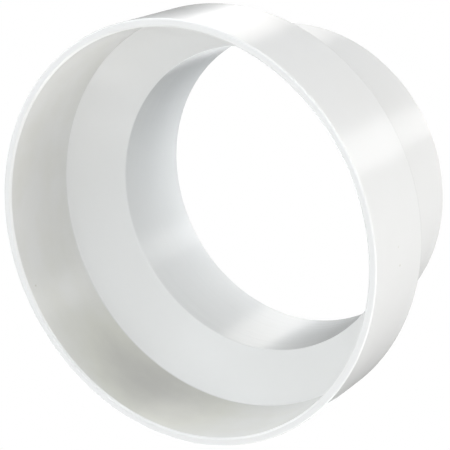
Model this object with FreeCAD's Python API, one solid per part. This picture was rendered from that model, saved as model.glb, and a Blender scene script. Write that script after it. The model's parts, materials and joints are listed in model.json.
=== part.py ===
"""Stepped duct connector: a wide socket, a cone and a narrower spigot, moulded as one white plastic piece.

It stands on the end of its spigot, with the mouth of the socket up. +Z is the axis, and the origin is
the centre of the spigot's end face.
"""
import FreeCAD, Part
import math
import os

# Driving dimensions, in millimetres and degrees.
OVERALL_LENGTH = 72.2    # end of the spigot to the mouth of the socket
SOCKET_BORE = 125.2      # diameter that a 125 mm round duct slides into
SOCKET_DEPTH = 28.9      # mouth to the cone's upper edge, where the duct stops
MOUTH_WALL = 2.6         # thickness of the socket at its mouth
SOCKET_DRAFT = 1.5       # taper of the socket's outside towards the cone
CONE_SLOPE = 45.0        # angle between the cone and the axis
CONE_WALL = 1.8          # thickness of the cone, square to its surface
SPIGOT_OUTSIDE = 101.8   # diameter that a 100 mm hose slides over
SPIGOT_WALL = 2.5        # thickness of the spigot at its end
BORE_DRAFT = 1.0         # taper of the spigot's bore, wider towards the socket

# Edges, down the inside from the mouth and back up the outside.
MOUTH_LEAD_IN = 0.6
SEAT_ROUND = 0.5
THROAT_ROUND = 0.6
SPIGOT_INNER_BEVEL = 0.4
SPIGOT_LEAD_IN = 0.8
ROOT_ROUND = 1.0
SHOULDER_ROUND = 0.8
MOUTH_OUTER_ROUND = 0.5


def wall(radius, height, taper):
    """A straight wall of the section through a point, as (radius at height 0, radius gained per height)."""
    gain = math.tan(math.radians(taper))
    return radius - height * gain, gain


def meet(first, second):
    """The corner (radius, height) where two straight walls cross."""
    height = (second[0] - first[0]) / (first[1] - second[1])
    return first[0] + first[1] * height, height


def rounded(corner, back, ahead, radius):
    """An arc across a corner, tangent to the walls that leave it in the directions back and ahead."""
    half_angle = back.getAngle(ahead) / 2
    reach = radius / math.tan(half_angle)
    depth = radius / math.sin(half_angle) - radius
    middle = corner + (back + ahead).normalize() * depth
    return Part.Arc(corner + back * reach, middle, corner + ahead * reach)


def bevelled(corner, back, ahead, leg):
    """A straight cut across a corner, as far along both of its walls."""
    return Part.LineSegment(corner + back * leg, corner + ahead * leg)


def edges_of_section():
    """Each corner of the wall's section, in order around it, with how its edge is finished and its size."""
    seat_height = OVERALL_LENGTH - SOCKET_DEPTH
    socket_radius = SOCKET_BORE / 2
    mouth_radius = socket_radius + MOUTH_WALL
    spigot_radius = SPIGOT_OUTSIDE / 2
    bore_radius = spigot_radius - SPIGOT_WALL
    cone_outset = CONE_WALL / math.cos(math.radians(CONE_SLOPE))

    cone_inside = wall(socket_radius, seat_height, CONE_SLOPE)
    cone_outside = wall(socket_radius + cone_outset, seat_height, CONE_SLOPE)
    bore = wall(bore_radius, 0, BORE_DRAFT)
    spigot_outside = wall(spigot_radius, 0, 0)
    socket_outside = wall(mouth_radius, OVERALL_LENGTH, SOCKET_DRAFT)
    return [
        ((socket_radius, OVERALL_LENGTH), bevelled, MOUTH_LEAD_IN),
        ((socket_radius, seat_height), rounded, SEAT_ROUND),
        (meet(cone_inside, bore), rounded, THROAT_ROUND),
        ((bore_radius, 0), bevelled, SPIGOT_INNER_BEVEL),
        ((spigot_radius, 0), bevelled, SPIGOT_LEAD_IN),
        (meet(cone_outside, spigot_outside), rounded, ROOT_ROUND),
        (meet(socket_outside, cone_outside), rounded, SHOULDER_ROUND),
        ((mouth_radius, OVERALL_LENGTH), rounded, MOUTH_OUTER_ROUND),
    ]


def section(edges):
    """The section as a face in the XZ plane: a finished edge at each corner, and straight walls between."""
    corners = [FreeCAD.Vector(radius, 0, height) for (radius, height), finish, size in edges]
    finished = []
    for index, (place, finish, size) in enumerate(edges):
        corner = corners[index]
        back = (corners[index - 1] - corner).normalize()
        ahead = (corners[(index + 1) % len(corners)] - corner).normalize()
        finished.append(finish(corner, back, ahead, size))
    outline = []
    for edge, following in zip(finished, finished[1:] + finished[:1]):
        outline += [edge.toShape(), Part.LineSegment(edge.EndPoint, following.StartPoint).toShape()]
    return Part.Face(Part.Wire(outline))


centre = FreeCAD.Vector(0, 0, 0)
axis = FreeCAD.Vector(0, 0, 1)
connector_body = section(edges_of_section()).revolve(centre, axis, 360)
os.makedirs("parts", exist_ok=True)
connector_body.exportStep("parts/connector_body.step")
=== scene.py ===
import json
import math

import bpy
import numpy as np
from mathutils import Matrix, Vector


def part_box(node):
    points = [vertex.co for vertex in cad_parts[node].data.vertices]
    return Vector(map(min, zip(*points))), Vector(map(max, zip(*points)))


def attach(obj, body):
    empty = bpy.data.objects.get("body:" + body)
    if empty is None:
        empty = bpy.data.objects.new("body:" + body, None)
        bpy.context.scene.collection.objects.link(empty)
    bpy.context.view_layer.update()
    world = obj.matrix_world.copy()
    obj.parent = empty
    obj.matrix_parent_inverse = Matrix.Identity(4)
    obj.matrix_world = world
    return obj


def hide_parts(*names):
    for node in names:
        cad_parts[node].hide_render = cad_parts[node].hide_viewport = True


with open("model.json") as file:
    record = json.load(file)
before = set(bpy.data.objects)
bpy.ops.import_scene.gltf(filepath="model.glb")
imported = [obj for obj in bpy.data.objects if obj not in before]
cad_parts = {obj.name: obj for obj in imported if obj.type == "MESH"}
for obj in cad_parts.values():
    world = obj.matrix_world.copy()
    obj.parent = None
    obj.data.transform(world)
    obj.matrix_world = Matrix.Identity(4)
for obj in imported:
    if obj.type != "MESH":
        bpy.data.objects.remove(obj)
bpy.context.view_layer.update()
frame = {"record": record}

# The connector: a wide socket, a cone and a narrower spigot in one continuous wall.
# White ABS, injection moulded in one shot round a turned steel core, with nothing fixed to it. Its edges
# are slightly rounded, and the socket's outside and the spigot's bore are drafted to leave the mould.
MM = 0.001
mounts = {mount["name"]: mount for mount in frame["record"]["mounts"]}
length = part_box("connector_body")[1].z
socket_radius = mounts["duct_socket"]["dims"]["r_mm"] * MM
spigot_radius = mounts["hose_spigot"]["dims"]["r_mm"] * MM
socket_depth = 28.9 * MM
mouth_wall = 2.6 * MM
cone_wall = 1.8 * MM
spigot_wall = 2.5 * MM
socket_draft = math.radians(1.5)
cone_slope = math.radians(45)
bore_draft = math.radians(1)
mouth_lead_in = 0.6 * MM
spigot_lead_in = 0.8 * MM
spigot_inner_bevel = 0.4 * MM
bevel_round = 0.15 * MM
seat_round = 0.5 * MM
throat_round = 0.6 * MM
root_round = 1.0 * MM
shoulder_round = 0.8 * MM
mouth_outer_round = 0.5 * MM
arc_steps = 8
wall_steps = 14
turn_steps = 384


def wall(radius, height, taper):
    """A straight wall of the section: its radius at height 0, and the radius that it gains per height."""
    return radius - height * math.tan(taper), math.tan(taper)


def crossing(first, second):
    """The corner (radius, height) where two walls meet: the height at which their radii are equal."""
    height = (second[0] - first[0]) / (first[1] - second[1])
    return first[0] + first[1] * height, height


def rounded_section(corners, arc_steps, wall_steps):
    """Points (radius, height) round a closed section, one row for each corner's arc and the wall after it.
    An arc is tangent to both walls, with its centre on their bisector at its radius over the sine of half
    the corner's angle. Points on a wall crowd towards its ends, as half of 1 - cos of equal steps from
    0 to pi, so that shading turns only at the edges."""
    place, radius = corners[:, :2], corners[:, 2:]
    back = np.roll(place, 1, axis=0) - place
    ahead = np.roll(place, -1, axis=0) - place
    back /= np.linalg.norm(back, axis=1, keepdims=True)
    ahead /= np.linalg.norm(ahead, axis=1, keepdims=True)
    half_angle = np.arccos((back * ahead).sum(axis=1, keepdims=True)) / 2
    bisector = (back + ahead) / np.linalg.norm(back + ahead, axis=1, keepdims=True)
    centre = place + bisector * radius / np.sin(half_angle)
    start = place + back * radius / np.tan(half_angle) - centre
    end = place + ahead * radius / np.tan(half_angle) - centre
    turn = (np.pi - 2 * half_angle)[:, None]
    share = np.linspace(0, 1, arc_steps + 1)[None, :, None]
    arcs = np.sin((1 - share) * turn) * start[:, None] + np.sin(share * turn) * end[:, None]
    arcs = centre[:, None] + arcs / np.sin(turn)
    along = (1 - np.cos(np.linspace(0, np.pi, wall_steps + 1)))[None, 1:-1, None] / 2
    walls = arcs[:, -1:] * (1 - along) + np.roll(arcs[:, :1], -1, axis=0) * along
    return np.concatenate([arcs, walls], axis=1)


def turned(section, steps):
    """A closed section turned about Z: (radius, height) goes to (radius cos a, radius sin a, height) at
    equal angles a, and each face joins two neighbours on the section at two neighbouring angles."""
    angle = np.linspace(0, 2 * np.pi, steps, endpoint=False)[:, None]
    radius, height = section[:, 0], section[:, 1]
    points = np.stack([radius * np.cos(angle), radius * np.sin(angle), height + 0 * angle], axis=-1)
    index = np.arange(steps * len(section)).reshape(steps, len(section))
    next_angle = np.roll(index, -1, axis=0)
    next_point = np.roll(index, -1, axis=1)
    next_both = np.roll(next_angle, -1, axis=1)
    faces = np.stack([index, next_angle, next_both, next_point], axis=-1)
    return points.reshape(-1, 3), faces.reshape(-1, 4)


seat_height = length - socket_depth
bore_radius = spigot_radius - spigot_wall
cone_inside = wall(socket_radius, seat_height, cone_slope)
cone_outside = wall(socket_radius + cone_wall / math.cos(cone_slope), seat_height, cone_slope)
bore = wall(bore_radius, 0, bore_draft)
spigot_outside = wall(spigot_radius, 0, 0)
socket_outside = wall(socket_radius + mouth_wall, length, socket_draft)
section = rounded_section(np.array([
    (socket_radius + mouth_lead_in, length, bevel_round),
    (socket_radius, length - mouth_lead_in, bevel_round),
    (socket_radius, seat_height, seat_round),
    (*crossing(cone_inside, bore), throat_round),
    (bore_radius, spigot_inner_bevel, bevel_round),
    (bore_radius + spigot_inner_bevel, 0, bevel_round),
    (spigot_radius - spigot_lead_in, 0, bevel_round),
    (spigot_radius, spigot_lead_in, bevel_round),
    (*crossing(cone_outside, spigot_outside), root_round),
    (*crossing(socket_outside, cone_outside), shoulder_round),
    (socket_radius + mouth_wall, length, mouth_outer_round),
]), arc_steps, wall_steps)
points, faces = turned(section.reshape(-1, 2), turn_steps)
mesh = bpy.data.meshes.new("duct_connector")
mesh.from_pydata(points, [], faces)
mesh.shade_smooth()
connector = bpy.data.objects.new("duct_connector", mesh)
bpy.context.collection.objects.link(connector)

# Shares from 0 to 1 for the finish. The socket is scuffed and a little smudged by the ducts slid into it,
# and painted shade darkens one side of its wall, most towards the seat. The shade's share is a power of
# half of 1 + cos round the wall, and down the wall it follows a sine from the mouth, which is full at the
# depth of the deepest painted shade. The two rows are those of the section that end in the socket's wall
# and in the bore's wall.
socket_row = 1
bore_row = 3
# Painted shade: the side of the socket that it darkens, how narrow it is, and how it grows from the mouth
# to the seat.
shaded_side = math.radians(127)
shade_power = 20
mouth_shade = 0.4
deepest_shade_depth = 0.7 * socket_depth
socket_smudge = 0.06
painted_shade = 0.78
patch_smudge = 0.03
socket_patch_smudge = 0.19
in_socket = np.zeros(section.shape[:2])
in_socket[socket_row, arc_steps:] = 1
in_bore = np.zeros(section.shape[:2])
in_bore[bore_row, arc_steps:] = 1
towards_seat = np.sin(np.pi / 2 * (length - section[..., 1]) / deepest_shade_depth)
from_shaded_side = np.linspace(0, 2 * np.pi, turn_steps, endpoint=False) - shaded_side
shaded_side_share = (((1 + np.cos(from_shaded_side)) / 2) ** shade_power)[:, None, None]
shade_depth_share = mouth_shade + (1 - mouth_shade) * towards_seat
# The least and most smudge hold the real smudge and also the painted shade on one side, deep in the socket.
least_smudge_and_shade = socket_smudge * in_socket + painted_shade * in_socket * shade_depth_share * shaded_side_share
most_smudge_and_shade = least_smudge_and_shade + patch_smudge + socket_patch_smudge * in_socket
shares = {"scuffed": in_socket, "ringed": in_bore, "least_smudge_and_shade": least_smudge_and_shade, "most_smudge_and_shade": most_smudge_and_shade}
for name, share in shares.items():
    whole = np.broadcast_to(share, (turn_steps, *section.shape[:2]))
    mesh.attributes.new(name, "FLOAT", "POINT").data.foreach_set("value", whole.ravel())

clean_white = (0.80, 0.80, 0.79, 1)
# The smudged white colours both the real smudge and the painted shade on the socket's wall.
smudged_and_shaded_white = (0.72, 0.715, 0.655, 1)
speck_grey = (0.58, 0.57, 0.54, 1)
full_smudge_and_shade = 0.5
white_plastic = bpy.data.materials.new("white_moulded_plastic")
white_plastic.use_nodes = True
nodes, links = white_plastic.node_tree.nodes, white_plastic.node_tree.links
plastic = nodes["Principled BSDF"]
plastic.inputs["IOR"].default_value = 1.5


def node(kind, **inputs):
    """A new node of the plastic: each input is joined to another node's output or set to a plain value."""
    made = nodes.new(kind)
    for name, value in inputs.items():
        socket = made.inputs[name.replace("_", " ").title()]
        if isinstance(value, bpy.types.NodeSocket):
            links.new(value, socket)
        else:
            socket.default_value = value
    return made


def share_of(name):
    """The share from 0 to 1 that the mesh carries for one of its walls."""
    made = node("ShaderNodeAttribute")
    made.attribute_name = name
    return made.outputs["Fac"]


def noise(waves_per_metre, detail, low, high, to_low, to_high):
    """Noise on the moulding's own coordinates, its values from low to high carried to the range from to_low
    to to_high in a straight line, and held at the ends."""
    place = node("ShaderNodeMapping", vector=own_place, scale=waves_per_metre)
    grain = node("ShaderNodeTexNoise", vector=place.outputs[0], scale=1, detail=detail)
    ranged = node("ShaderNodeMapRange", value=grain.outputs[0], from_min=low, from_max=high,
                  to_min=to_low, to_max=to_high)
    return ranged.outputs[0]


own_place = node("ShaderNodeTexCoord").outputs["Object"]

# Faint smudges in patches, painted shade on one side deep in the socket, and a few grey specks in the
# plastic.
smudge_waves = (60, 60, 90)
specks_per_metre = 70
speck_core = 0.012
speck_edge = 0.03
smudge_and_shade = noise(smudge_waves, detail=3, low=0.35, high=0.75,
               to_low=share_of("least_smudge_and_shade"), to_high=share_of("most_smudge_and_shade"))
speck_cells = node("ShaderNodeTexVoronoi", vector=own_place, scale=specks_per_metre)
speck = node("ShaderNodeMapRange", value=speck_cells.outputs["Distance"],
             from_min=speck_core, from_max=speck_edge, to_min=1, to_max=smudge_and_shade)
colour = node("ShaderNodeValToRGB", fac=speck.outputs[0])
colour.color_ramp.elements[0].color = clean_white
colour.color_ramp.elements[1].color = speck_grey
colour.color_ramp.elements.new(full_smudge_and_shade).color = smudged_and_shaded_white
links.new(colour.outputs["Color"], plastic.inputs["Base Color"])

# Satin gloss, a little uneven in patches, and duller where the socket is scuffed.
clean_smoothest = 0.17
clean_roughest = 0.23
scuffed_smoothest = 0.235
scuffed_roughest = 0.27
gloss_waves = (45, 45, 45)
scuffed = share_of("scuffed")
smoothest = node("ShaderNodeMapRange", value=scuffed, to_min=clean_smoothest, to_max=scuffed_smoothest)
roughest = node("ShaderNodeMapRange", value=scuffed, to_min=clean_roughest, to_max=scuffed_roughest)
roughness = noise(gloss_waves, detail=2, low=0.3, high=0.7,
                  to_low=smoothest.outputs[0], to_high=roughest.outputs[0])
links.new(roughness, plastic.inputs["Roughness"])

# Fine rings from the turned core, deepest in the bore, over a slow waviness of the moulded walls.
ring_waves = (10, 10, 450)
ring_height = 0.035 * MM
faint_rings = 0.1
wall_waves = (55, 55, 55)
wave_height = 0.02 * MM
ring_strength = node("ShaderNodeMapRange", value=share_of("ringed"), to_min=faint_rings, to_max=1)
rings = noise(ring_waves, detail=3, low=0.25, high=0.75, to_low=0, to_high=ring_strength.outputs[0])
waves = noise(wall_waves, detail=1, low=0.2, high=0.8, to_low=0, to_high=1)
waviness = node("ShaderNodeBump", height=waves, distance=wave_height)
ringed = node("ShaderNodeBump", height=rings, distance=ring_height, normal=waviness.outputs["Normal"])
links.new(ringed.outputs["Normal"], plastic.inputs["Normal"])
mesh.materials.append(white_plastic)
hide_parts("connector_body")
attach(connector, "root")

# The floor: one seamless sheet of white paper under the connector, which sweeps up in a quarter circle to a
# wall all round: (reach, rise) goes to (reach cos a, reach sin a, rise) at equal angles a. It is lit from
# behind until it is plain white, and only the camera sees it, so it throws no light back.
floor_reach = 2.0
sweep_radius = 1.0
wall_height = 3.0
sweep_steps = 16
floor_sides = 64
sweep = np.linspace(0, np.pi / 2, sweep_steps)
reach = np.concatenate([[0], floor_reach + sweep_radius * np.sin(sweep), [floor_reach + sweep_radius]])
rise = np.concatenate([[0], sweep_radius * (1 - np.cos(sweep)), [wall_height]])
around = np.linspace(0, 2 * np.pi, floor_sides, endpoint=False)[:, None]
sheet = np.stack([reach * np.cos(around), reach * np.sin(around), rise + 0 * around], axis=-1)
index = np.arange(sheet[..., 0].size).reshape(sheet.shape[:2])
following = np.roll(index, -1, axis=0)
strips = np.stack([index[:, :-1], index[:, 1:], following[:, 1:], following[:, :-1]], axis=-1)
floor = bpy.data.objects.new("floor", bpy.data.meshes.new("floor"))
floor.data.from_pydata(sheet.reshape(-1, 3), [], strips.reshape(-1, 4))
bpy.context.collection.objects.link(floor)
lit_paper = bpy.data.materials.new("lit_paper")
lit_paper.use_nodes = True
paper = lit_paper.node_tree.nodes["Principled BSDF"]
paper.inputs["Base Color"].default_value = (0, 0, 0, 1)
paper.inputs["Specular IOR Level"].default_value = 0
paper.inputs["Emission Color"].default_value = (1, 1, 1, 1)
paper.inputs["Emission Strength"].default_value = 1
floor.data.materials.append(lit_paper)
floor.visible_diffuse = False
floor.visible_glossy = False
floor.visible_shadow = False

# The camera: a long lens above the mouth of the socket, turned about its line of sight so that the spigot
# points to the upper right of the picture.
view_elevation = math.radians(53.65)
view_roll = math.radians(116.45)
view_distance = 0.5959
view_aim = Vector((-0.00264, 0.00957, 0.0361))
view_lens = 152.75
camera = bpy.data.objects.new("camera", bpy.data.cameras.new("camera"))
camera.data.lens = view_lens
turn = Matrix.Rotation(math.pi / 2 - view_elevation, 4, "X") @ Matrix.Rotation(-view_roll, 4, "Z")
camera.matrix_world = Matrix.Translation(view_aim) @ turn @ Matrix.Translation((0, 0, view_distance))
bpy.context.collection.objects.link(camera)
scene = bpy.context.scene
scene.camera = camera

# The studio: soft boxes a metre away, round the connector, above it and low behind the lit paper, and a
# small light table close under the open end of the spigot. Each is a white cloth front over a lamp, some
# of them a little warm or cool, in a dim grey room.
lamp_distance = 1.0
table_distance = 0.075
lit_point = Vector((0, 0, length / 2))
room_brightness = 0.155
plain_white = (1.0, 1.0, 1.0)
warm_white = (1.03, 1.0, 0.97)
cool_white = (0.97, 1.0, 1.03)
blue_white = (0.88, 1.0, 1.12)


def soft_box(name, azimuth, elevation, wide, tall, brightness, colour, distance=lamp_distance):
    """A rectangular lamp that faces the connector from an azimuth and an elevation, in degrees, and from a
    distance. Its sides span the angles wide and tall, in degrees, as the connector sees them, and its power
    is pi times its area times its brightness."""
    around, above = math.radians(azimuth), math.radians(elevation)
    way = Vector((math.cos(above) * math.cos(around), math.cos(above) * math.sin(around), math.sin(above)))
    lamp = bpy.data.lights.new(name, "AREA")
    lamp.shape = "RECTANGLE"
    lamp.size = 2 * distance * math.tan(math.radians(wide) / 2)
    lamp.size_y = 2 * distance * math.tan(math.radians(tall) / 2)
    lamp.energy = math.pi * lamp.size * lamp.size_y * brightness
    lamp.color = colour
    box = bpy.data.objects.new(name, lamp)
    facing = way.to_track_quat("Z", "Y").to_matrix().to_4x4()
    box.matrix_world = Matrix.Translation(lit_point + way * distance) @ facing
    box.visible_camera = False
    bpy.context.collection.objects.link(box)
    return box


# Round the connector and above it.
soft_box("overhead", -60, 78, 50, 50, 2.45, cool_white)
soft_box("front", -84, -13, 40, 46, 3.1, plain_white)
soft_box("right", 2, 2, 36, 36, 2.95, cool_white)
soft_box("right_high", -10, 40, 44, 44, 1.05, cool_white)
soft_box("right_rear", 45, 10, 40, 40, 1.8, plain_white)
soft_box("rear_left", 146, 26, 40, 40, 2.35, plain_white)
soft_box("left_front", -150, 8, 50, 40, 2.65, warm_white)
soft_box("left_low", -150, -16, 50, 26, 1.1, blue_white)

# Low behind the lit paper, where the bore and the far edges of the walls mirror them.
soft_box("low_rear", 106, -30, 30, 46, 3.5, cool_white)
soft_box("low_glow", 96, -54, 10, 10, 0.9, plain_white)
soft_box("low_right", 11, -45, 23, 26, 1.9, warm_white)
soft_box("low_side", 32, -54, 9, 18, 0.5, cool_white)
soft_box("low_front", -91, -53, 12, 22, 1.6, plain_white)

# The light table lights the bore, and leaves no image of itself in the gloss.
light_table = soft_box("light_table", 0, -90, 50, 50, 0.75, blue_white, table_distance)
light_table.visible_glossy = False

scene.view_settings.view_transform = "Standard"
studio = bpy.data.worlds.new("studio")
scene.world = studio
studio.use_nodes = True
room = studio.node_tree.nodes["Background"]
room.inputs["Color"].default_value = (*plain_white, 1)
room.inputs["Strength"].default_value = room_brightness
